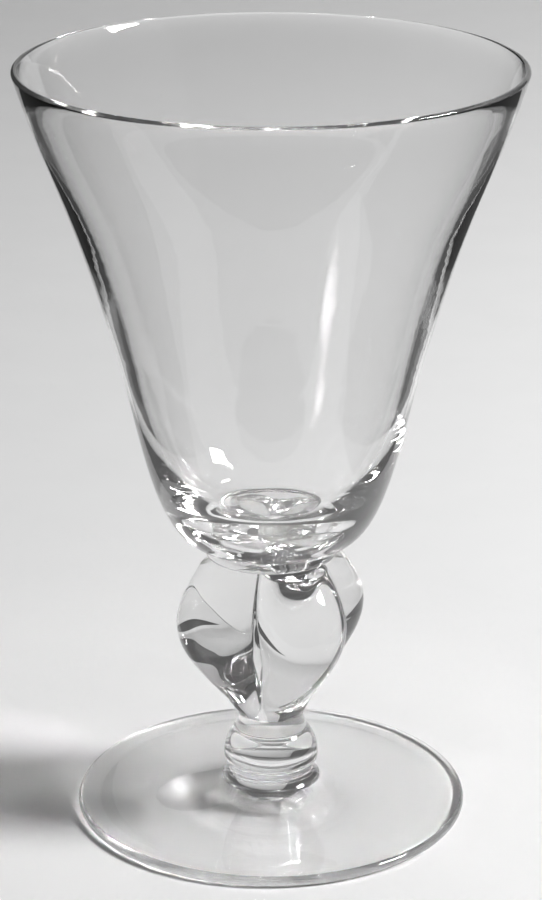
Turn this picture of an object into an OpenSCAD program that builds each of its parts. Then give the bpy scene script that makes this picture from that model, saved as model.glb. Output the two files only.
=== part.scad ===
// Water goblet of clear glass: a flared bowl on a wafer, a stem knop pinched into lobes,
// a short collar, a button knop and a round foot. It stands on z = 0, with its axis on Z.
// Each piece is a separate gather of glass, and the pieces meet face to face on flat round
// seats where the hot glass was joined.

/* [Foot] */
// Diameter of the foot
foot_d = 82.6; // [74:0.2:100]
// Thickness of the foot at its rounded edge
foot_edge_t = 2.2; // [1.6:0.1:3]
// Height that the foot's top climbs from its edge to the boss
foot_rise = 3.8; // [2.5:0.1:6]
// Height of the shallow hollow under the middle of the foot
foot_hollow = 1.8; // [0.5:0.1:2.4]
// Width of the flat ring that the foot stands on
rest_ring_w = 3.2; // [1.5:0.1:6]
// Diameter of the boss where it leaves the foot's top
boss_base_d = 20.9; // [20:0.1:24]
// Height of the boss between the foot's top and the button knop
boss_h = 3.4; // [2:0.1:6]
// Diameter of the flat seat between the boss and the button knop
button_seat_d = 18; // [15:0.1:19]

/* [Button knop] */
// Diameter of the button knop at its widest
button_d = 20.1; // [19.4:0.1:24]
// Height of the button knop
button_h = 7.6; // [6:0.1:11]
// Height of the button knop's widest ring over its underside
button_widest_h = 1.4; // [0.8:0.1:2.4]

/* [Stem collar] */
// Diameter of the seat between the button knop and the stem collar
collar_seat_d = 15.6; // [14.4:0.1:17]
// Height of the stem collar
collar_h = 3.8; // [2.4:0.1:6]
// Diameter of the stem's neck, which is the collar's top and the lobed knop's foot
neck_d = 14; // [12:0.1:14.2]

/* [Lobed knop] */
// Height of the lobed knop
knop_h = 36.3; // [30:0.1:46]
// Radius of one lobe's round section where the knop is widest
lobe_r = 10.4; // [9.4:0.1:11.6]
// Distance from the axis to the middle of a lobe where the knop is widest
lobe_offset = 12.3; // [10.6:0.1:13]
// Radius of a lobe's round section just over the neck, where the lobes part
lobe_root_r = 6.2; // [5.5:0.1:7]
// Radius of a lobe's round section under the wafer
lobe_top_r = 5.5; // [4.4:0.1:6.4]
// Distance from the axis to the middle of a lobe under the wafer
lobe_top_offset = 9; // [8:0.1:10]
// Diameter of the solid core between the lobes under the wafer
core_top_d = 21.2; // [18:0.1:24]
// Number of lobes round the knop
lobes = 4; // [3:1:5]

/* [Bowl wafer] */
// Diameter of the wafer's flat faces, which are the seats of the knop and the bowl
wafer_seat_d = 27.2; // [25:0.1:31]
// Height of the wafer between the lobed knop and the bowl
wafer_h = 2.6; // [1.6:0.1:4]
// How far the wafer's round edge stands out past its flat faces
wafer_bulge = 0.4; // [0.1:0.05:0.8]

/* [Bowl] */
// Height of the bowl from the wafer to the rim
bowl_h = 100.3; // [88:0.1:116]
// Diameter of the rim
rim_d = 102.4; // [92:0.2:116]
// Thickness of the rounded lip
lip_t = 1.3; // [1:0.1:2]
// Diameter of the bowl at the waist, where its round base turns into the flare
waist_d = 63.8; // [58:0.2:70]
// Thickness of the bowl's wall at the waist
waist_wall_t = 2.9; // [2:0.1:4]
// Thickness of the glass under the lowest point of the bowl's hollow
floor_t = 3.6; // [2.6:0.1:6]

/* [Hidden] */

// Clear glass
glass = [0.88, 0.88, 0.88, 0.45];
// Facets of the round pieces
$fn = 120;
// Steps along a short curve and along a long one
short_steps = 8;
long_steps = 22;
// Rings up the lobed knop, and points across one lobe
knop_rings = 32;
lobe_points = 18;

// Heights of the seats, from the table up
foot_top_z = foot_edge_t + foot_rise;
button_z = foot_top_z + boss_h;
collar_z = button_z + button_h;
knop_z = collar_z + collar_h;
wafer_z = knop_z + knop_h;
bowl_z = wafer_z + wafer_h;
rim_z = bowl_z + bowl_h;

// Radii of the seats and pieces
foot_r = foot_d / 2;
boss_base_r = boss_base_d / 2;
button_seat_r = button_seat_d / 2;
button_r = button_d / 2;
collar_seat_r = collar_seat_d / 2;
neck_r = neck_d / 2;
core_top_r = core_top_d / 2;
wafer_seat_r = wafer_seat_d / 2;
rim_r = rim_d / 2;
waist_r = waist_d / 2;

// How fast the foot's top falls away from the boss, and how hollow the boss and collar are
foot_fall = 1.7;
boss_flare = 2.4;
collar_flare = 2.6;

// How full the button knop's curves are, as shares of the steps that they span
button_under_share = 0.7;
button_side_share = 0.45;
button_top_share = 0.15;

// Share of the knop's height at which it is widest, and where its shoulders begin to round
widest_share = 0.57;
shoulder_share = 0.41;
// Shares of the knop's height by which the lobes have parted and then reached their radius
parting_share = 0.14;
full_share = 0.8;
// How closely the rings crowd under the wafer
ring_crowding = 1.5;

// Waist of the bowl as a share of its height, and the flare there and at the lip,
// as the radius gained over the height gained
waist_share = 0.424;
waist_flare_share = 0.273;
lip_flare_share = 0.308;
// Pull of the outline's curves: round base, waist down, waist up and lip down
base_pull_share = 0.337;
waist_down_share = 0.44;
waist_up_share = 0.56;
lip_down_share = 0.37;
// The same for the hollow: its round floor, waist down, waist up and lip down
floor_pull_share = 0.8;
hollow_down_share = 0.38;
hollow_up_share = 0.5;
hollow_lip_share = 0.4;

// Points of a cubic curve from a to d, drawn towards b and c
function cubic(a, b, c, d, steps) =
    [for (i = [0:steps])
        let (t = i / steps, s = 1 - t)
            s * s * s * a + 3 * s * s * t * b + 3 * s * t * t * c + t * t * t * d];

// A list without its first point, for a curve that carries on from another
function rest_of(points) = [for (i = [1:len(points) - 1]) points[i]];

// A smooth step from 0 to 1
function ease(x) = let (t = min(max(x, 0), 1)) t * t * (3 - 2 * t);

// Arc of a circle, by its centre, radius and angles
function arc(centre, r, from, to, steps) =
    [for (i = [0:steps])
        let (a = from + (to - from) * i / steps)
            centre + r * [cos(a), sin(a)]];

module foot() {
    edge_r = foot_edge_t / 2;
    ring_out_r = foot_r - edge_r;
    ring_in_r = ring_out_r - rest_ring_w;
    hollow = [for (i = [0:long_steps])
        let (s = i / long_steps)
            [ring_in_r * s, foot_hollow * (1 - s * s)]];
    edge = arc([ring_out_r, edge_r], edge_r, -90, 90, short_steps);
    top = [for (i = [1:long_steps])
        let (s = 1 - i / long_steps)
            [boss_base_r + (ring_out_r - boss_base_r) * s,
             foot_edge_t + foot_rise * pow(1 - s, foot_fall)]];
    boss = [for (i = [1:short_steps])
        let (s = i / short_steps)
            [button_seat_r + (boss_base_r - button_seat_r) * pow(1 - s, boss_flare),
             foot_top_z + boss_h * s]];
    color(glass)
    rotate_extrude()
    polygon(concat(hollow, edge, top, boss, [[0, button_z]]));
}

module button_knop() {
    widest_z = button_z + button_widest_h;
    dome_h = collar_z - widest_z;
    lip = button_r - button_seat_r;
    shoulder = button_r - collar_seat_r;
    under = cubic([button_seat_r, button_z],
                  [button_seat_r + lip * button_under_share, button_z],
                  [button_r, widest_z - button_widest_h * button_under_share],
                  [button_r, widest_z], short_steps);
    dome = cubic([button_r, widest_z],
                 [button_r, widest_z + dome_h * button_side_share],
                 [collar_seat_r + shoulder * button_side_share, collar_z - dome_h * button_top_share],
                 [collar_seat_r, collar_z], 2 * short_steps);
    color(glass)
    rotate_extrude()
    polygon(concat([[0, button_z]], under, rest_of(dome), [[0, collar_z]]));
}

module stem_collar() {
    side = [for (i = [0:short_steps])
        let (s = i / short_steps)
            [neck_r + (collar_seat_r - neck_r) * pow(1 - s, collar_flare),
             collar_z + collar_h * s]];
    color(glass)
    rotate_extrude()
    polygon(concat([[0, collar_z]], side, [[0, knop_z]]));
}

// Distance of a lobe's middle from the axis at share u of the knop's height: a quarter
// sine wave up to the widest ring, then half a cosine wave in to the wafer
function lobe_middle(u) =
    u < widest_share
        ? lobe_offset * sin(90 * u / widest_share)
        : lobe_top_offset + (lobe_offset - lobe_top_offset)
            * (1 + cos(180 * (u - widest_share) / (1 - widest_share))) / 2;

// Radius of a lobe's round section: from the neck it narrows where the lobes part, swells
// to its full size, and rounds off over the shoulder as a quarter of an ellipse
function lobe_section(u) =
    let (parted = neck_r + (lobe_root_r - neck_r) * ease(u / parting_share),
         swell = (lobe_r - lobe_root_r) * ease((u - parting_share) / (full_share - parting_share)),
         t = max(0, (u - shoulder_share) / (1 - shoulder_share)))
            parted + swell - (lobe_r - lobe_top_r) * (1 - sqrt(max(0, 1 - t * t)));

// Radius of the solid core that shows at the bottom of the creases
function core_radius(u) = neck_r + (core_top_r - neck_r) * ease(u);

// Distance from the axis to the knop's surface at share u, at an angle from a lobe's middle
function knop_radius(u, angle) =
    let (offset = lobe_middle(u),
         reach = pow(lobe_section(u), 2) - pow(offset * sin(angle), 2))
            max(core_radius(u), reach > 0 ? offset * cos(angle) + sqrt(reach) : 0);

module lobed_knop() {
    count = lobes * lobe_points;
    lobe_angle = 360 / lobes;
    shares = [for (i = [0:knop_rings]) 1 - pow(1 - i / knop_rings, ring_crowding)];
    ring_points = [for (u = shares, k = [0:count - 1])
        let (a = lobe_angle * (k % lobe_points) / lobe_points - lobe_angle / 2,
             r = knop_radius(u, a),
             turn = 360 * k / count)
            [r * cos(turn), r * sin(turn), knop_z + knop_h * u]];
    points = concat(ring_points, [[0, 0, knop_z], [0, 0, wafer_z]]);
    foot_point = len(ring_points);
    top_point = foot_point + 1;
    last = knop_rings * count;
    sides = [for (i = [0:knop_rings - 1], k = [0:count - 1], half = [0, 1])
        let (next = (k + 1) % count, low = i * count, high = low + count)
            half == 0 ? [low + k, high + k, high + next] : [low + k, high + next, low + next]];
    foot_fan = [for (k = [0:count - 1]) [foot_point, k, (k + 1) % count]];
    top_fan = [for (k = [0:count - 1]) [top_point, last + (k + 1) % count, last + k]];
    color(glass)
    polyhedron(points, concat(sides, foot_fan, top_fan));
}

module bowl_wafer() {
    half_h = wafer_h / 2;
    edge = [for (i = [0:2 * short_steps])
        let (s = i / short_steps - 1)
            [wafer_seat_r + wafer_bulge * sqrt(1 - s * s), wafer_z + half_h * (1 + s)]];
    color(glass)
    rotate_extrude()
    polygon(concat([[0, wafer_z]], edge, [[0, bowl_z]]));
}

module bowl() {
    lip_r = lip_t / 2;
    lip_angle = atan(lip_flare_share);
    lip_centre = [rim_r - lip_r, rim_z - lip_r];
    lip_out = [cos(lip_angle), -sin(lip_angle)];
    lip_down = [-sin(lip_angle), -cos(lip_angle)];
    rim_out = lip_centre + lip_r * lip_out;
    rim_in = lip_centre - lip_r * lip_out;
    waist_down = [-waist_flare_share, -1];
    waist_h = bowl_h * waist_share;
    flare_h = bowl_h - waist_h;
    waist_out = [waist_r, bowl_z + waist_h];
    waist_in = waist_out - [waist_wall_t, 0];
    floor_z = bowl_z + floor_t;
    base = cubic([wafer_seat_r, bowl_z],
                 [wafer_seat_r + waist_d * base_pull_share / 2, bowl_z],
                 waist_out + waist_h * waist_down_share * waist_down,
                 waist_out, long_steps);
    flare = cubic(waist_out, waist_out - flare_h * waist_up_share * waist_down,
                  rim_out + flare_h * lip_down_share * lip_down, rim_out, long_steps);
    lip = arc(lip_centre, lip_r, -lip_angle, 180 - lip_angle, short_steps);
    hollow_flare = cubic(rim_in, rim_in + flare_h * hollow_lip_share * lip_down,
                         waist_in - flare_h * hollow_up_share * waist_down, waist_in, long_steps);
    hollow = cubic(waist_in, waist_in + waist_h * hollow_down_share * waist_down,
                   [waist_in.x * floor_pull_share, floor_z], [0, floor_z], long_steps);
    color(glass)
    rotate_extrude()
    polygon(concat([[0, bowl_z]], base, rest_of(flare), rest_of(lip),
                   rest_of(hollow_flare), rest_of(hollow)));
}

foot();
button_knop();
stem_collar();
lobed_knop();
bowl_wafer();
bowl();
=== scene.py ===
"""A clear glass water goblet on a pale sweep, built around its packed solids.

The goblet is six gathers of hot glass fused one on top of the other: the foot, the button
knop, the stem collar, the lobed knop, the bowl wafer and the bowl. Each is a closed mesh of
its own. Where two of them are fused, both have the same seat in a join skin that light
passes straight through, so the stack bends light as one body of glass.
"""

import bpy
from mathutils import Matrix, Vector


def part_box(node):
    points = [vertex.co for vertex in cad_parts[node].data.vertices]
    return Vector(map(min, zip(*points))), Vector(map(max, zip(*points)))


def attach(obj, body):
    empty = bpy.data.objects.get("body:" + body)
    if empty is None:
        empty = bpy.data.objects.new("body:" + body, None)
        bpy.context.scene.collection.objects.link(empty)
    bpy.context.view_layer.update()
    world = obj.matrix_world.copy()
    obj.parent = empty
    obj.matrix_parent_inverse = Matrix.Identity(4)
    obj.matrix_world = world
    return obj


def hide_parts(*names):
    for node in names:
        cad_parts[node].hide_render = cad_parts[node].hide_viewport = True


bl_info = {
    "name": "Water goblet",
    "version": (1, 0, 0),
    "blender": (4, 5, 0),
    "location": "3D View > Sidebar > Goblet",
    "description": "Builds a clear glass water goblet and a small studio around it",
    "category": "Add Mesh",
}

import math

import bpy
import numpy as np

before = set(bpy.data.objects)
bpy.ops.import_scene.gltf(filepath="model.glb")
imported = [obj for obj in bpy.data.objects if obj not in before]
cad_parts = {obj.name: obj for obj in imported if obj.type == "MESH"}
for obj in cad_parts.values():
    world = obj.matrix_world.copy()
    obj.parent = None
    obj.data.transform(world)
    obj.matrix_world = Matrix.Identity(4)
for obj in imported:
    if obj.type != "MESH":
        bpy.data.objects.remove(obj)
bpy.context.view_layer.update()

# One millimetre in Blender's metres
MM = 0.001
# Points round every ring of glass, which fused pieces share
AROUND = 360
# How closely those points crowd at the creases, from 0 to 1
CROWDING = 0.7
# The hand-worked unevenness: seed and number of its waves, and the shortest wave per radian,
# over the height and over the radius
WAVE_SEED, WAVE_COUNT = 7, 7
WAVE_HEIGHT, WAVE_DEPTH = 9 * MM, 3 * MM
# Radius inside which the unevenness dies away towards the axis
CALM = 8 * MM
# How far the curves of the bowl's profile run along the directions of their two ends, as shares:
# outside from the seat to the waist and on to the lip, inside down to the waist and the floor
BASE_PULL, FLARE_PULL = (0.337, 0.44), (0.56, 0.37)
WALL_PULL, HOLLOW_PULL = (0.4, 0.5), (0.38, 0.8)
# Dark cards that lie on the sweep just outside the view: name, outer edge, inner edge at the
# near end and at the far end, near end and far end, in metres from the axis
CARDS = [("left_card", -0.5, -0.09, -0.155, -0.05, 0.42),
         ("right_card", 0.6, 0.11, 0.135, -0.1, 0.40)]
# Scales of the noise that makes the glass's cords, its scratches and the paper's mottle
CORD_SCALE, SCRATCH_SCALE, MOTTLE_SCALE = (60.0, 60.0, 160.0), (1500.0, 400.0, 400.0), 45.0
# Height up to which the resting ring is scratched
WORN = 0.05 * MM
# Depth of the floor under the foot and height of the cards over it, which keep them apart
FLOOR_DROP, CARD_LIFT = 0.1 * MM, 0.4 * MM
# Tone of the paper's darker mottles as a share, and height at which the sweep has its paler risen tone,
# which is painted light: it makes up for the lamps lighting the risen sweep less than the floor
MOTTLE, PAINTED_LIGHT_HEIGHT = 0.96, 0.2
# Height over the floor that the lamps are aimed at, in metres
AIM = 0.06
# Bounces of light, of which it takes many to leave the rounded lip, and passes through the seats
BOUNCES, PASSES = 50, 24
# Places of a piece's two materials
GLASS = 0
JOIN = 1


def seats(node):
    """Heights of a node's lower and upper seat."""
    low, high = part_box(node)
    return low.z, high.z


def width(node):
    """Width of a node across X."""
    low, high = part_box(node)
    return high.x - low.x


def length(label, text, value):
    """A length that a user may change, in metres."""
    return bpy.props.FloatProperty(
        name=label, description=text, default=value, min=0.0, unit="LENGTH", precision=5)


def share(label, text, value, most=1.0):
    """A plain number that a user may change."""
    return bpy.props.FloatProperty(
        name=label, description=text, default=value, min=0.0, max=most, precision=3)


def angle(label, text, degrees):
    """An angle that a user may change."""
    return bpy.props.FloatProperty(
        name=label, description=text, default=math.radians(degrees), subtype="ANGLE")


def colour(label, text, value):
    """A colour that a user may change."""
    return bpy.props.FloatVectorProperty(
        name=label, description=text, default=value, size=3, min=0.0, max=1.0, subtype="COLOR")


class FootSizes(bpy.types.PropertyGroup):
    """Sizes of the foot."""

    diameter: length("Diameter", "Diameter of the foot", width("foot"))
    edge: length("Edge", "Thickness of the foot at its rounded edge", 2.2 * MM)
    rise: length("Rise", "Height that the foot's top climbs from its edge to the boss", 3.8 * MM)
    hollow: length("Hollow", "Height of the hollow under the middle of the foot", 1.8 * MM)
    ring: length("Resting ring", "Width of the flat ring that the foot stands on", 3.2 * MM)
    boss: length("Boss", "Diameter of the boss where it leaves the foot's top", 20.9 * MM)
    seat: length("Seat", "Diameter of the seat under the button knop", 18.0 * MM)
    fall: share("Fall", "How fast the foot's top falls away from the boss", 1.7, 4.0)
    flare: share("Flare", "How hollow the side of the boss is", 2.4, 6.0)
    tone: share("Tone", "Share of the light that passes in and out of the foot", 0.92)


class StemSizes(bpy.types.PropertyGroup):
    """Sizes of the button knop, the stem collar, the lobed knop and the wafer."""

    button: length("Button", "Diameter of the button knop at its widest", width("button_knop"))
    button_low: length("Button widest", "Height of the button's widest ring over its seat", 1.4 * MM)
    collar: length("Collar seat", "Diameter of the seat under the stem collar", 15.6 * MM)
    collar_flare: share("Collar flare", "How hollow the side of the collar is", 2.6, 6.0)
    neck: length("Neck", "Diameter of the neck under the lobed knop", 14.0 * MM)
    lobe: length("Lobe", "Radius of a lobe where the knop is widest", 10.4 * MM)
    lobe_offset: length("Lobe offset", "Distance of a lobe's middle from the axis there", 12.3 * MM)
    lobe_root: length("Lobe root", "Radius of a lobe where the lobes part over the neck", 6.2 * MM)
    lobe_top: length("Lobe top", "Radius of a lobe under the wafer", 5.5 * MM)
    top_offset: length("Top offset", "Distance of a lobe's middle from the axis there", 9.0 * MM)
    core: length("Core", "Diameter of the core between the lobes under the wafer", 21.2 * MM)
    crease: length("Crease", "How soft the crease between two lobes is", 0.35 * MM)
    paddled: length("Paddled", "How much a lobe's shoulder is flattened", 0.75 * MM)
    paddled_aside: length("Paddled aside", "How far beside a lobe's middle that is", 0.9 * MM)
    seam: length("Seam", "Depth of the seam under the wafer", 1.2 * MM)
    groove: length("Groove", "Depth of the pinched groove at the bottom of a crease", 1.1 * MM)
    groove_width: length("Groove width", "Half width of that groove", 0.4 * MM)
    wafer: length("Wafer seat", "Diameter of the wafer's seats", 27.2 * MM)
    lobes: bpy.props.IntProperty(name="Lobes", description="Number of lobes", default=4, min=3, max=5)
    tone: share("Tone", "Share of the light that passes in and out of the stem", 0.9)


class BowlSizes(bpy.types.PropertyGroup):
    """Sizes of the bowl."""

    rim: length("Rim", "Diameter of the rim", width("bowl"))
    lip: length("Lip", "Thickness of the rounded lip", 1.3 * MM)
    waist: length("Waist", "Diameter where the round base turns into the flare", 63.8 * MM)
    waist_wall: length("Waist wall", "Thickness of the wall at the waist", 2.9 * MM)
    floor: length("Floor", "Thickness of the glass under the hollow", 3.6 * MM)
    waist_height: share("Waist height", "Height of the waist as a share of the bowl's", 0.424)
    waist_flare: share("Waist flare", "Radius gained over height gained at the waist", 0.273)
    lip_flare: share("Lip flare", "Radius gained over height gained at the lip", 0.308)
    lip_swell: length("Lip swell", "How much the wall thickens just under the lip", 0.4 * MM)
    lip_reach: length("Lip reach", "Height over which it thickens", 1.8 * MM)
    tone: share("Tone", "Share of the light that passes in and out of the wall", 0.97)


class GlassFinish(bpy.types.PropertyGroup):
    """The glass, and the marks of making it."""

    index: share("Index", "Index of refraction", 1.5, 3.0)
    waves: length("Waves", "Depth of the hand-worked unevenness", 0.12 * MM)
    cords: share("Cords", "Strength of the fine cords drawn out in the glass", 0.03)
    wear: share("Wear", "Roughness of the scratches on the resting ring", 0.2)


class Studio(bpy.types.PropertyGroup):
    """The sweep, the dark cards beside it, the lamps and the camera."""

    sweep: colour("Sweep", "Colour of the floor", (0.8, 0.8, 0.8))
    # Painted light: the risen sweep is paler than the floor, to make up for the lamps lighting it less
    painted_light_backdrop: colour("Backdrop", "Colour of the sweep where it has risen", (0.97, 0.97, 0.97))
    card: colour("Cards", "Colour of the dark cards beside the goblet", (0.1, 0.1, 0.1))
    room: colour("Room", "Colour of the dim room around the sweep", (0.1, 0.1, 0.1))
    left: length("Left", "Reach of the sweep to the left of the goblet", 0.30)
    right: length("Right", "Reach of the sweep to the right", 0.83)
    front: length("Front", "Reach of the sweep to the front", 0.11)
    back: length("Back", "Distance at which the sweep starts to rise", 0.90)
    bend: length("Bend", "Radius of the sweep's bend", 0.40)
    top: length("Top", "Height of the sweep", 1.40)
    turn: angle("Turn", "Turn of the camera round the goblet", 13.5)
    pitch: angle("Pitch", "How far the camera looks down", 20.106)
    distance: length("Distance", "Distance of the camera from the axis", 0.5776)
    height: length("Height", "Height of the camera over the floor", 0.29075)
    lens: share("Lens", "Focal length in millimetres", 119.41, 300.0)
    key_power: share("Key power", "Power of the softbox in watts", 21.8, 1000.0)
    key_side: length("Key side", "Side of the square softbox", 0.31)
    key_turn: angle("Key turn", "Turn of the softbox from the camera", 86.0)
    key_rise: angle("Key rise", "Height of the softbox over the floor, as an angle", 39.0)
    key_distance: length("Key distance", "Distance of the softbox", 1.24)
    wall_light: share("Wall light", "Brightness of the pale wall on the right", 0.15)
    wall_wide: length("Wall width", "Width of the pale wall", 2.7)
    wall_tall: length("Wall height", "Height of the pale wall", 1.6)
    wall_rise: angle("Wall rise", "Height of its middle over the floor, as an angle", 18.0)
    wall_distance: length("Wall distance", "Distance of the pale wall", 1.8)
    ceiling_light: share("Ceiling light", "Brightness of the ceiling", 0.05)
    ceiling_side: length("Ceiling side", "Side of the square ceiling", 1.6)
    ceiling_distance: length("Ceiling distance", "Height of the ceiling over the goblet", 1.7)


class Term:
    """A socket in a node tree. Plain arithmetic on it adds Math nodes."""

    def __init__(self, tree, socket):
        self.tree = tree
        self.socket = socket

    def math(self, operation, *values):
        """A Math node on some values."""
        return self.tree.node("ShaderNodeMath", {"operation": operation}, dict(enumerate(values)))

    def __mul__(self, other):
        return self.math("MULTIPLY", self, other)

    __rmul__ = __mul__

    def __lt__(self, other):
        return self.math("LESS_THAN", self, other)

    def __gt__(self, other):
        return self.math("GREATER_THAN", self, other)


class Tree:
    """A node tree, built one node at a time."""

    def __init__(self, owner):
        owner.use_nodes = True
        self.nodes = owner.node_tree.nodes
        self.links = owner.node_tree.links
        self.nodes.clear()

    def node(self, kind, settings=None, values=None, output=0):
        """Adds a node of a kind, with its settings and its sockets' values, and returns one output."""
        made = self.nodes.new(kind)
        for name, value in (settings or {}).items():
            setattr(made, name, value)
        for name, value in (values or {}).items():
            if isinstance(value, Term):
                self.links.new(value.socket, made.inputs[name])
            else:
                made.inputs[name].default_value = value
        return Term(self, made.outputs[output]) if made.outputs else None


def opaque(value):
    """A colour with full alpha."""
    return (*value, 1.0)


def mixed(tree, factor, low, high):
    """A Mix node on two colours, whose sockets for colours are its inputs 6 and 7 and output 2."""
    return tree.node("ShaderNodeMix", {"data_type": "RGBA"}, {0: factor, 6: low, 7: high}, 2)


def glass_material(name, tone, worn, finish):
    """Clear glass with faint cords drawn out round the axis. A worn piece has fine scratches
    where it stands, from noise of short streaks."""
    material = bpy.data.materials.new(name)
    tree = Tree(material)
    place = tree.node("ShaderNodeTexCoord", output="Object")
    drawn = tree.node("ShaderNodeMapping", {}, {"Vector": place, "Scale": CORD_SCALE})
    cords = tree.node("ShaderNodeTexNoise", {}, {"Vector": drawn, "Scale": 1.0, "Detail": 2.0})
    relief = tree.node("ShaderNodeBump", {}, {
        "Height": cords, "Strength": finish.cords, "Distance": MM})
    roughness = 0.0
    if worn:
        height = tree.node("ShaderNodeSeparateXYZ", {}, {"Vector": place}, "Z")
        streaks = tree.node("ShaderNodeMapping", {}, {"Vector": place, "Scale": SCRATCH_SCALE})
        scratches = tree.node("ShaderNodeTexNoise", {}, {"Vector": streaks, "Scale": 1.0, "Detail": 4.0})
        roughness = (height < WORN) * (scratches > 0.5) * scratches * finish.wear
    glass = tree.node("ShaderNodeBsdfPrincipled", {}, {
        "Base Color": opaque((tone, tone, tone)), "Roughness": roughness, "IOR": finish.index,
        "Transmission Weight": 1.0, "Normal": relief})
    tree.node("ShaderNodeOutputMaterial", {}, {"Surface": glass})
    return material


def join_material():
    """The fused seats inside the goblet, which light passes straight through."""
    found = bpy.data.materials.get("fused_join")
    if found:
        return found
    material = bpy.data.materials.new("fused_join")
    tree = Tree(material)
    clear = tree.node("ShaderNodeBsdfTransparent")
    tree.node("ShaderNodeOutputMaterial", {}, {"Surface": clear})
    return material


def ease(x):
    """A smooth step from 0 to 1."""
    t = np.clip(x, 0.0, 1.0)
    return t * t * (3 - 2 * t)


def cubic(a, b, c, d, steps):
    """Points of a cubic curve from a to d, drawn towards b and c."""
    t = np.linspace(0.0, 1.0, steps + 1)[:, None]
    s = 1 - t
    return s**3 * np.array(a) + 3 * s**2 * t * np.array(b) + 3 * s * t**2 * np.array(c) + t**3 * np.array(d)


def arc(centre, radius, start, end, steps):
    """Points of a circle's arc, by its angles."""
    a = np.linspace(start, end, steps + 1)
    return np.stack([centre[0] + radius * np.cos(a), centre[1] + radius * np.sin(a)], 1)


def turns():
    """Angles of the points round a ring, which crowd where the knop's creases are: an even
    angle less a sine wave with one period to each quarter turn."""
    even = np.arange(AROUND) * 2 * np.pi / AROUND
    return even - CROWDING / 4 * np.sin(4 * even)


def rings_round(radii, heights):
    """Rings of points round Z: each ring has a height, and one radius or one for each angle."""
    a = turns()
    radii = np.reshape(radii, (len(heights), -1))
    x, y, z = np.broadcast_arrays(radii * np.cos(a), radii * np.sin(a), heights[:, None])
    return np.stack([x, y, z], -1)


def closed_mesh(name, rings, skins, waves):
    """A closed mesh of triangles, uneven by waves: two between each pair of neighbours on
    neighbouring rings, and a fan to a point on the axis at each end. Points that coincide from
    ring to ring become one. skins gives the material of each strip, the two fans first and last."""
    low, high = rings[0, 0, 2], rings[-1, 0, 2]
    rings = uneven(rings, waves)
    steps = len(rings)
    same = np.linalg.norm(rings[1:] - rings[:-1], axis=2) < 1e-7
    first = np.broadcast_to(np.arange(steps)[:, None], (steps, AROUND)).copy()
    first[1:][same] = 0
    index = np.maximum.accumulate(first, axis=0) * AROUND + np.arange(AROUND)
    after = np.roll(index, -1, axis=1)
    a, b, c, d = index[:-1], after[:-1], after[1:], index[1:]
    strips = np.stack([np.stack([a, b, c], -1), np.stack([a, c, d], -1)], 2)
    low_point, high_point = steps * AROUND, steps * AROUND + 1
    low_fan = np.stack([np.full(AROUND, low_point), after[0], index[0]], 1)
    high_fan = np.stack([np.full(AROUND, high_point), index[-1], after[-1]], 1)
    faces = np.concatenate([low_fan, strips.reshape(-1, 3), high_fan])
    skin = np.concatenate([
        np.full(AROUND, skins[0]), np.repeat(skins[1:-1], 2 * AROUND), np.full(AROUND, skins[-1])])
    whole = (faces[:, 0] != faces[:, 1]) & (faces[:, 1] != faces[:, 2]) & (faces[:, 2] != faces[:, 0])
    faces, skin = faces[whole], skin[whole]
    points = np.concatenate([rings.reshape(-1, 3), [(0.0, 0.0, low), (0.0, 0.0, high)]])
    used, faces = np.unique(faces, return_inverse=True)
    faces = faces.reshape(-1, 3)
    mesh = bpy.data.meshes.new(name)
    mesh.from_pydata(points[used].tolist(), [], faces.tolist())
    mesh.polygons.foreach_set("material_index", skin.astype(np.int32))
    mesh.polygons.foreach_set("use_smooth", np.ones(len(faces), bool))
    edge_of = np.empty(len(mesh.loops), np.int32)
    mesh.loops.foreach_get("edge_index", edge_of)
    least = np.full(len(mesh.edges), JOIN)
    most = np.full(len(mesh.edges), GLASS)
    np.minimum.at(least, edge_of, np.repeat(skin, 3))
    np.maximum.at(most, edge_of, np.repeat(skin, 3))
    sharp = mesh.attributes.new("sharp_edge", "BOOLEAN", "EDGE")
    sharp.data.foreach_set("value", least != most)
    mesh.update()
    return mesh


def uneven(rings, waves):
    """Rings with the unevenness of hand work: each point moves in towards the axis by up to
    waves, after the mean of some sine waves of its angle, height and radius. The mean depends on
    the place alone, so pieces that share a ring stay together."""
    x, y, z = rings[..., 0], rings[..., 1], rings[..., 2]
    radius = np.hypot(x, y)
    rng = np.random.default_rng(WAVE_SEED)
    around = rng.integers(1, 6, WAVE_COUNT)
    along = rng.uniform(-1, 1, WAVE_COUNT) / WAVE_HEIGHT
    across = rng.uniform(-1, 1, WAVE_COUNT) / WAVE_DEPTH
    start = rng.uniform(0, 2 * np.pi, WAVE_COUNT)
    waving = np.sin(around * np.arctan2(y, x)[..., None] + along * z[..., None]
                    + across * radius[..., None] + start).mean(-1)
    inward = waves * (1 - waving) / 2 * ease(radius / CALM)
    factor = 1 - inward / np.maximum(radius, 1e-6)
    return np.stack([x * factor, y * factor, z], -1)


def add_piece(node, mesh, tone, scene):
    """Puts a mesh in place of its solid, in its glass and its join skin."""
    piece = bpy.data.objects.new(node + "_glass", mesh)
    scene.collection.objects.link(piece)
    mesh.materials.append(glass_material(node + "_clear", tone, node == "foot", scene.goblet_finish))
    mesh.materials.append(join_material())
    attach(piece, "root")
    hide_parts(node)


def turned_mesh(name, stretches, waves):
    """A closed mesh turned from stretches of profile, each with its material. The first
    stretch starts on the axis and the last one ends there."""
    profile = np.concatenate([stretch[1:] for stretch, _ in stretches])[:-1]
    skins = np.repeat([skin for _, skin in stretches], [len(stretch) - 1 for stretch, _ in stretches])
    return closed_mesh(name, rings_round(profile[:, 0], profile[:, 1]), skins, waves)


def line(*points):
    """A stretch of straight profile."""
    return np.array(points)


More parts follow.
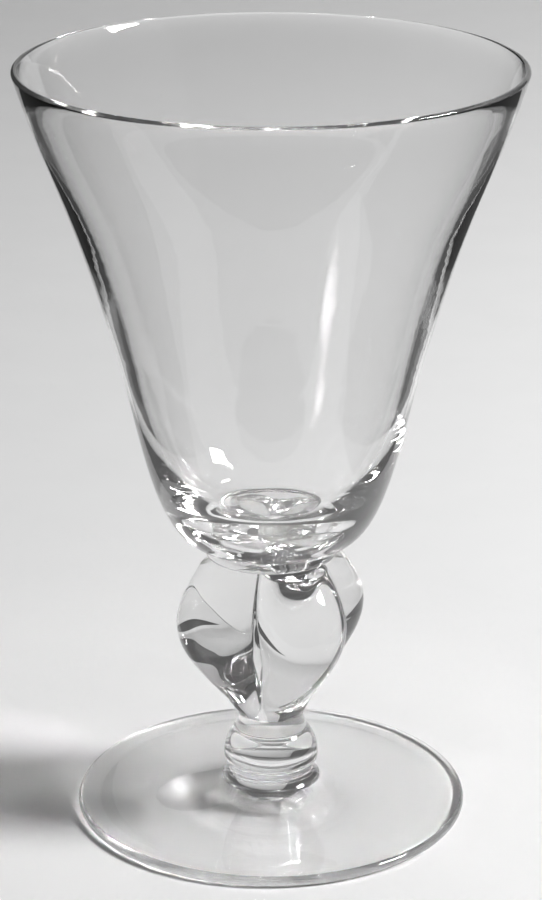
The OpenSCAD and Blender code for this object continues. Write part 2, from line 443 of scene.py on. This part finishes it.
class GOBLET_OT_foot(bpy.types.Operator):
    """Makes the round foot with its boss"""

    bl_idname = "goblet.foot"
    bl_label = "Foot"

    def execute(self, context):
        sizes = context.scene.goblet_foot
        low, high = seats("foot")
        edge_r = sizes.edge / 2
        out_r = sizes.diameter / 2 - edge_r
        in_r = out_r - sizes.ring
        boss_r, seat_r = sizes.boss / 2, sizes.seat / 2
        s = np.linspace(0.0, 1.0, 41)
        hollow = np.stack([in_r * s, low + sizes.hollow * (1 - s**2)], 1)
        rest = np.stack([np.linspace(in_r, out_r, 5), np.full(5, low)], 1)
        edge = arc((out_r, low + edge_r), edge_r, -np.pi / 2, np.pi / 2, 24)
        s = np.linspace(1.0, 0.0, 61)
        top = np.stack([boss_r + (out_r - boss_r) * s,
                        low + sizes.edge + sizes.rise * (1 - s)**sizes.fall], 1)
        boss_z = low + sizes.edge + sizes.rise
        s = np.linspace(0.0, 1.0, 25)
        boss = np.stack([seat_r + (boss_r - seat_r) * (1 - s)**sizes.flare,
                         boss_z + (high - boss_z) * s], 1)
        seat = line((seat_r, high), (0.0, high))
        mesh = turned_mesh("foot_glass", [
            (hollow, GLASS), (rest, GLASS), (edge, GLASS), (top, GLASS), (boss, GLASS),
            (seat, JOIN)], context.scene.goblet_finish.waves)
        add_piece("foot", mesh, sizes.tone, context.scene)
        return {"FINISHED"}


class GOBLET_OT_button_knop(bpy.types.Operator):
    """Makes the button knop on the boss"""

    bl_idname = "goblet.button_knop"
    bl_label = "Button knop"

    def execute(self, context):
        stem = context.scene.goblet_stem
        low, high = seats("button_knop")
        seat_r = context.scene.goblet_foot.seat / 2
        wide_r, top_r = stem.button / 2, stem.collar / 2
        wide_z = low + stem.button_low
        dome = high - wide_z
        under_pull, dome_pull, dome_fall = 0.7, 0.45, 0.15
        under = cubic((seat_r, low), (seat_r + (wide_r - seat_r) * under_pull, low),
                      (wide_r, wide_z - stem.button_low * under_pull), (wide_r, wide_z), 20)
        over = cubic((wide_r, wide_z), (wide_r, wide_z + dome * dome_pull),
                     (top_r + (wide_r - top_r) * dome_pull, high - dome * dome_fall), (top_r, high), 40)
        mesh = turned_mesh("button_knop_glass", [
            (line((0.0, low), (seat_r, low)), JOIN), (under, GLASS), (over, GLASS),
            (line((top_r, high), (0.0, high)), JOIN)], context.scene.goblet_finish.waves)
        add_piece("button_knop", mesh, stem.tone, context.scene)
        return {"FINISHED"}


class GOBLET_OT_stem_collar(bpy.types.Operator):
    """Makes the flared collar under the neck"""

    bl_idname = "goblet.stem_collar"
    bl_label = "Stem collar"

    def execute(self, context):
        stem = context.scene.goblet_stem
        low, high = seats("stem_collar")
        seat_r, neck_r = stem.collar / 2, stem.neck / 2
        s = np.linspace(0.0, 1.0, 25)
        side = np.stack([neck_r + (seat_r - neck_r) * (1 - s)**stem.collar_flare,
                         low + (high - low) * s], 1)
        mesh = turned_mesh("stem_collar_glass", [
            (line((0.0, low), (seat_r, low)), JOIN), (side, GLASS),
            (line((neck_r, high), (0.0, high)), JOIN)], context.scene.goblet_finish.waves)
        add_piece("stem_collar", mesh, stem.tone, context.scene)
        return {"FINISHED"}


def lobe_middle(u, stem):
    """Distance of a lobe's middle from the axis at share u of the knop's height: a quarter
    sine wave up to the widest ring, then half a cosine wave in to the wafer."""
    widest = 0.57
    rising = stem.lobe_offset * np.sin(np.pi / 2 * u / widest)
    falling = stem.top_offset + (stem.lobe_offset - stem.top_offset) * (
        1 + np.cos(np.pi * (u - widest) / (1 - widest))) / 2
    return np.where(u < widest, rising, falling)


def lobe_section(u, stem):
    """Radius of a lobe's round section: it narrows where the lobes part, swells to its full
    size, and rounds off over the shoulder as a quarter of an ellipse."""
    parting, full, shoulder = 0.14, 0.8, 0.41
    neck_r = stem.neck / 2
    parted = neck_r + (stem.lobe_root - neck_r) * ease(u / parting)
    swell = (stem.lobe - stem.lobe_root) * ease((u - parting) / (full - parting))
    t = np.clip((u - shoulder) / (1 - shoulder), 0.0, 1.0)
    return parted + swell - (stem.lobe - stem.lobe_top) * (1 - np.sqrt(1 - t * t))


def blended(a, b, softness):
    """The larger of two radii, rounded over where they are within softness of each other."""
    h = np.clip(0.5 + 0.5 * (a - b) / softness, 0.0, 1.0)
    return b + (a - b) * h + softness * h * (1 - h)


def knop_radius(u, stem):
    """Distance from the axis to the knop's surface at share u, round one ring: the lobes'
    round sections and the core, each blended into the next over a soft crease, less a groove
    along the bottom of each crease, whose depth falls off as a bell curve to both sides. The
    crease on the +X side has no groove. Each lobe's shoulder is flattened by a round bell curve,
    and a seam runs in under the wafer. The named shares of u say where these start or peak."""
    u = np.asarray(u)[..., None]
    a = turns()
    offset, section = lobe_middle(u, stem), lobe_section(u, stem)
    core = stem.neck / 2 + (stem.core - stem.neck) / 2 * ease(u)
    crease_full, groove_full, seam_start = 0.2, 0.25, 0.96
    crown_width, crown, crown_height = 5 * MM, 0.93, 0.09
    softness = 1e-9 + stem.crease * ease(u / crease_full)
    radius = core * np.ones_like(a)
    for k in range(stem.lobes):
        away = a - (k + 0.5) * 2 * np.pi / stem.lobes
        reach = section**2 - (offset * np.sin(away))**2
        facing = (reach > 0) & (np.cos(away) > 0) | (offset < section)
        lobe = np.where(facing, offset * np.cos(away) + np.sqrt(np.maximum(reach, 0.0)), 0.0)
        aside = (np.sin(away) * lobe - stem.paddled_aside) / crown_width
        above = (u - crown) / crown_height
        lobe = lobe - stem.paddled * np.exp(-aside**2 - above**2)
        radius = blended(radius, lobe, softness)
    to_crease = np.sin(a * stem.lobes / 2) * 2 / stem.lobes * radius
    pinched = ease(u / groove_full) * np.exp(-(to_crease / stem.groove_width)**2)
    left_out = ease(2 * np.cos(a) - 0.5)
    seam = stem.seam * ease((u - seam_start) / (1 - seam_start))
    return radius - stem.groove * pinched * (1 - left_out) - seam


class GOBLET_OT_lobed_knop(bpy.types.Operator):
    """Makes the large knop, pinched into lobes"""

    bl_idname = "goblet.lobed_knop"
    bl_label = "Lobed knop"

    def execute(self, context):
        stem = context.scene.goblet_stem
        low, high = seats("lobed_knop")
        crowd_up = 1.6
        u = 1 - (1 - np.linspace(0.0, 1.0, 151))**crowd_up
        radii = knop_radius(u, stem)
        radii = np.concatenate([radii, np.minimum(radii[-1:], stem.wafer / 2)])
        rings = rings_round(radii, np.append(low + (high - low) * u, high))
        skins = [JOIN] + [GLASS] * (len(rings) - 1) + [JOIN]
        mesh = closed_mesh("lobed_knop_glass", rings, skins, context.scene.goblet_finish.waves)
        add_piece("lobed_knop", mesh, stem.tone, context.scene)
        return {"FINISHED"}


class GOBLET_OT_bowl_wafer(bpy.types.Operator):
    """Makes the thin wafer under the bowl"""

    bl_idname = "goblet.bowl_wafer"
    bl_label = "Bowl wafer"

    def execute(self, context):
        stem = context.scene.goblet_stem
        low, high = seats("bowl_wafer")
        seat_r = stem.wafer / 2
        bulge = width("bowl_wafer") / 2 - seat_r
        s = np.linspace(-1.0, 1.0, 33)
        radii = (seat_r + bulge * np.sqrt(1 - s**2))[:, None] * np.ones(AROUND)
        heights = (low + high) / 2 + (high - low) / 2 * s
        knop_top = np.minimum(knop_radius(np.ones(1), stem), seat_r)
        rings = rings_round(np.concatenate([knop_top, radii]), np.append(low, heights))
        skins = [JOIN] + [GLASS] * (len(rings) - 1) + [JOIN]
        mesh = closed_mesh("bowl_wafer_glass", rings, skins, context.scene.goblet_finish.waves)
        add_piece("bowl_wafer", mesh, stem.tone, context.scene)
        return {"FINISHED"}


class GOBLET_OT_bowl(bpy.types.Operator):
    """Makes the flared bowl with its thick base and rounded lip"""

    bl_idname = "goblet.bowl"
    bl_label = "Bowl"

    def execute(self, context):
        sizes = context.scene.goblet_bowl
        low, high = seats("bowl")
        seat_r = context.scene.goblet_stem.wafer / 2
        lip_r = sizes.lip / 2
        lip_angle = math.atan(sizes.lip_flare)
        lip_centre = np.array([sizes.rim / 2 - lip_r, high - lip_r])
        lip_out = np.array([math.cos(lip_angle), -math.sin(lip_angle)])
        lip_down = np.array([-math.sin(lip_angle), -math.cos(lip_angle)])
        rim_out, rim_in = lip_centre + lip_r * lip_out, lip_centre - lip_r * lip_out
        waist_down = np.array([-sizes.waist_flare, -1.0])
        waist_h = (high - low) * sizes.waist_height
        flare_h = high - low - waist_h
        waist_out = np.array([sizes.waist / 2, low + waist_h])
        waist_in = waist_out - [sizes.waist_wall, 0.0]
        floor_z = low + sizes.floor
        base = cubic((seat_r, low), (seat_r + sizes.waist / 2 * BASE_PULL[0], low),
                     waist_out + waist_h * BASE_PULL[1] * waist_down, waist_out, 55)
        flare = cubic(waist_out, waist_out - flare_h * FLARE_PULL[0] * waist_down,
                      rim_out + flare_h * FLARE_PULL[1] * lip_down, rim_out, 50)
        lip = arc(lip_centre, lip_r, -lip_angle, np.pi - lip_angle, 20)
        wall = cubic(rim_in, rim_in + flare_h * WALL_PULL[0] * lip_down,
                     waist_in - flare_h * WALL_PULL[1] * waist_down, waist_in, 400)
        crowd_up = 1.7
        depth = (rim_in[1] - waist_in[1]) * np.linspace(0.0, 1.0, 71)**crowd_up
        swell = sizes.lip_swell * (1 - np.exp(-depth / sizes.lip_reach)) * (1 - depth / depth[-1])
        inner_flare = np.stack([
            np.interp(depth, rim_in[1] - wall[:, 1], wall[:, 0]) - swell, rim_in[1] - depth], 1)
        hollow = cubic(waist_in, waist_in + waist_h * HOLLOW_PULL[0] * waist_down,
                       (waist_in[0] * HOLLOW_PULL[1], floor_z), (0.0, floor_z), 55)
        mesh = turned_mesh("bowl_glass", [
            (line((0.0, low), (seat_r, low)), JOIN), (base, GLASS), (flare, GLASS), (lip, GLASS),
            (inner_flare, GLASS), (hollow, GLASS)], context.scene.goblet_finish.waves)
        add_piece("bowl", mesh, sizes.tone, context.scene)
        return {"FINISHED"}


def toward(turn, rise, distance, target):
    """A point at a distance from a target, at an angle round Z from the front and over the floor."""
    flat = distance * math.cos(rise)
    return (target[0] + flat * math.sin(turn), target[1] - flat * math.cos(turn),
            target[2] + distance * math.sin(rise))


def panel(name, watts, wide, tall, turn, rise, distance, roll, scene):
    """A rectangle of light that faces the goblet."""
    lamp = bpy.data.lights.new(name, "AREA")
    lamp.shape = "RECTANGLE"
    lamp.size, lamp.size_y = wide, tall
    lamp.energy = watts
    box = bpy.data.objects.new(name, lamp)
    box.location = toward(turn, rise, distance, (0.0, 0.0, AIM))
    box.rotation_euler = (math.pi / 2 - rise, 0.0, turn)
    box.rotation_euler.rotate_axis("Z", roll)
    scene.collection.objects.link(box)


def glow(brightness, wide, tall):
    """Watts of an even rectangle of light that shows as a given brightness."""
    return brightness * math.pi * wide * tall


def stage_sheet(name, across, away, up, tone, painted_light_tone, turn, scene):
    """A smooth matt sheet over a grid, given by its points' distances to the right of the
    camera's line through the goblet, away from the camera, and up. Its mottled tone turns into
    a paler one over the first part of its height, which is painted light: it makes up for the
    lamps lighting the risen sweep less than the floor."""
    x = across * math.cos(turn) - away * math.sin(turn)
    y = across * math.sin(turn) + away * math.cos(turn)
    rows, columns = x.shape
    index = np.arange(rows * columns).reshape(rows, columns)
    faces = np.stack([index[:-1, :-1], index[:-1, 1:], index[1:, 1:], index[1:, :-1]], -1)
    mesh = bpy.data.meshes.new(name)
    mesh.from_pydata(np.stack([x, y, up], -1).reshape(-1, 3).tolist(), [], faces.reshape(-1, 4).tolist())
    mesh.polygons.foreach_set("use_smooth", np.ones(len(mesh.polygons), bool))
    material = bpy.data.materials.new(name + "_matt")
    tree = Tree(material)
    place = tree.node("ShaderNodeTexCoord", output="Object")
    mottle = tree.node("ShaderNodeTexNoise", {}, {"Vector": place, "Scale": MOTTLE_SCALE, "Detail": 4.0})
    mottled = mixed(tree, mottle, opaque(tone), opaque(np.multiply(tone, MOTTLE)))
    height = tree.node("ShaderNodeSeparateXYZ", {}, {"Vector": place}, "Z")
    # Painted light: the sheet turns paler with height, to make up for the lamps lighting the risen sweep
    # less
    risen = tree.node("ShaderNodeMapRange", {}, {"Value": height, "From Min": 0.0, "From Max": PAINTED_LIGHT_HEIGHT})
    coloured = mixed(tree, risen, mottled, opaque(painted_light_tone))
    paper = tree.node("ShaderNodeBsdfPrincipled", {}, {
        "Base Color": coloured, "Roughness": 0.9, "Specular IOR Level": 0.1})
    tree.node("ShaderNodeOutputMaterial", {}, {"Surface": paper})
    mesh.materials.append(material)
    sheet = bpy.data.objects.new(name, mesh)
    scene.collection.objects.link(sheet)


class GOBLET_OT_stage(bpy.types.Operator):
    """Makes the sweep, the cards, the lamps, the room's light and the camera"""

    bl_idname = "goblet.stage"
    bl_label = "Stage"

    def execute(self, context):
        scene = context.scene
        studio = scene.goblet_studio
        floor = np.stack([np.linspace(-studio.front, studio.back, 36), np.full(36, -FLOOR_DROP)], 1)
        rising = arc((studio.back, studio.bend), studio.bend, -np.pi / 2, 0.0, 24)[1:]
        wall_z = np.linspace(studio.bend, studio.top, 11)[1:]
        wall = np.stack([np.full(10, studio.back + studio.bend), wall_z], 1)
        away, up = np.concatenate([floor, rising, wall]).T[:, :, None] * np.ones(41)
        narrowing, narrow_from, narrow_over = 0.115, 0.14, 0.31
        narrowed = 1 - narrowing * ease((up - narrow_from) / narrow_over)
        across = np.linspace(-studio.left, studio.right, 41) * narrowed
        stage_sheet("sweep", across, away, up, studio.sweep, studio.painted_light_backdrop, studio.turn, scene)
        part = np.linspace(0.0, 1.0, 5)
        for name, outer, near_edge, far_edge, near, far in CARDS:
            edge = near_edge + (far_edge - near_edge) * part[:, None]
            away = near + (far - near) * part[:, None] * np.ones(5)
            across = outer + (edge - outer) * part
            up = np.full(away.shape, CARD_LIFT)
            stage_sheet(name, across, away, up, studio.card, studio.card, studio.turn, scene)

        panel("key_softbox", studio.key_power, studio.key_side, studio.key_side,
              studio.turn + studio.key_turn, studio.key_rise, studio.key_distance, math.pi / 4, scene)
        wide, tall, side = studio.wall_wide, studio.wall_tall, studio.ceiling_side
        panel("pale_wall", glow(studio.wall_light, wide, tall), wide, tall,
              studio.turn + math.pi / 2, studio.wall_rise, studio.wall_distance, 0.0, scene)
        panel("ceiling", glow(studio.ceiling_light, side, side), side, side,
              0.0, math.pi / 2, studio.ceiling_distance, 0.0, scene)
        world = bpy.data.worlds.new("room")
        tree = Tree(world)
        room = tree.node("ShaderNodeBackground", {}, {"Color": opaque(studio.room), "Strength": 1.0})
        tree.node("ShaderNodeOutputWorld", {}, {"Surface": room})
        scene.world = world

        camera = bpy.data.cameras.new("camera")
        camera.lens = studio.lens
        camera.sensor_width = 36.0
        eye = bpy.data.objects.new("camera", camera)
        eye.location = toward(studio.turn, 0.0, studio.distance, (0.0, 0.0, studio.height))
        eye.rotation_euler = (math.pi / 2 - studio.pitch, 0.0, studio.turn)
        scene.collection.objects.link(eye)
        scene.camera = eye
        scene.view_settings.view_transform = "Standard"
        scene.cycles.sample_clamp_indirect = 0.0
        scene.cycles.blur_glossy = 0.0
        scene.cycles.max_bounces = BOUNCES
        scene.cycles.transmission_bounces = BOUNCES
        scene.cycles.glossy_bounces = BOUNCES
        scene.cycles.transparent_max_bounces = PASSES
        return {"FINISHED"}


class GOBLET_PT_pieces(bpy.types.Panel):
    """Lists the goblet's pieces and their sizes"""

    bl_label = "Water goblet"
    bl_idname = "GOBLET_PT_pieces"
    bl_space_type = "VIEW_3D"
    bl_region_type = "UI"
    bl_category = "Goblet"

    def draw(self, context):
        for piece in PIECES:
            self.layout.operator("goblet." + piece)
        self.layout.operator("goblet.stage")
        for name, group in GROUPS.items():
            box = self.layout.box()
            box.label(text=group.__doc__)
            for key in group.__annotations__:
                box.prop(getattr(context.scene, name), key)


PIECES = ["foot", "button_knop", "stem_collar", "lobed_knop", "bowl_wafer", "bowl"]
GROUPS = {"goblet_foot": FootSizes, "goblet_stem": StemSizes, "goblet_bowl": BowlSizes,
          "goblet_finish": GlassFinish, "goblet_studio": Studio}
CLASSES = [*GROUPS.values(), GOBLET_OT_foot, GOBLET_OT_button_knop, GOBLET_OT_stem_collar,
           GOBLET_OT_lobed_knop, GOBLET_OT_bowl_wafer, GOBLET_OT_bowl, GOBLET_OT_stage,
           GOBLET_PT_pieces]


def register():
    """Registers every class and hangs the sizes on the scene."""
    for kind in CLASSES:
        bpy.utils.register_class(kind)
    for name, group in GROUPS.items():
        setattr(bpy.types.Scene, name, bpy.props.PointerProperty(type=group))


def unregister():
    """Undoes register."""
    for name in GROUPS:
        delattr(bpy.types.Scene, name)
    for kind in reversed(CLASSES):
        bpy.utils.unregister_class(kind)


def main():
    """Makes every piece and the stage."""
    register()
    for piece in PIECES:
        getattr(bpy.ops.goblet, piece)()
    bpy.ops.goblet.stage()


if __name__ == "__main__":
    main()
